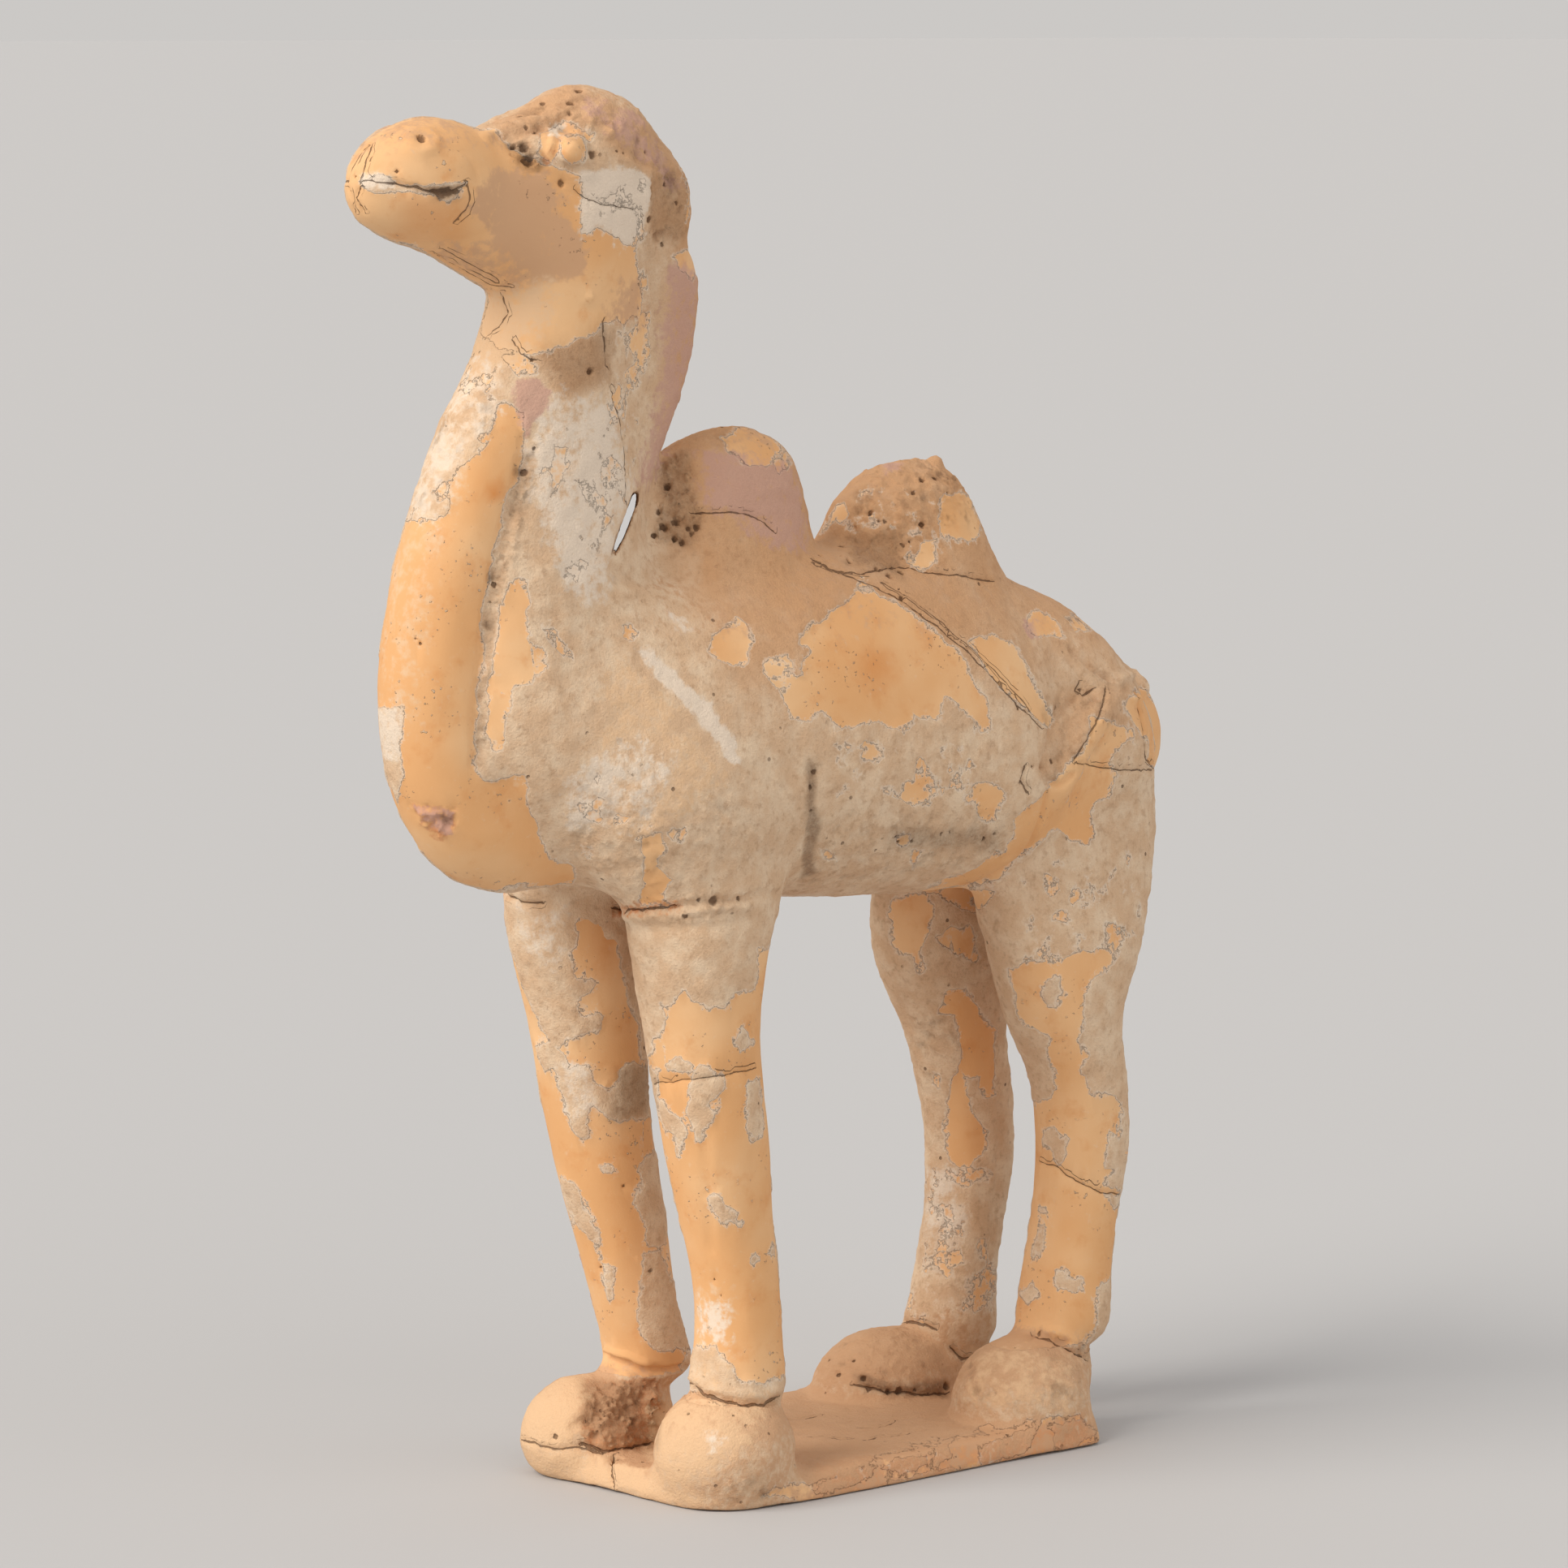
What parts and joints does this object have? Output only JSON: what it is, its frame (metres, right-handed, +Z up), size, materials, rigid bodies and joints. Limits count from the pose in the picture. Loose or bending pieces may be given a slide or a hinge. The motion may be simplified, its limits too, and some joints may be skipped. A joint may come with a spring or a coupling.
{
  "type": "terracotta camel figure",
  "caption": "Standing Bactrian camel in fired clay with raised head, two humps and a tail laid over its haunch, modelled in one with a thin slab under its feet.",
  "frame": {"origin": "on the slab's flat underside, midway between the slab's long sides and between the front and rear feet", "axes": "+Z up through the crown of the head, -Y the way the camel faces, +X towards the camel's left side"},
  "size_m": [0.0855, 0.2719, 0.3584],
  "materials": {
    "fired_clay": "matte unglazed orange terracotta, much of it under dry grey-beige burial mud and traces of white slip and pink pigment"
  },
  "bodies": {
    "root": {"camel_on_slab": "fired_clay"}
  },
  "joints": []
}
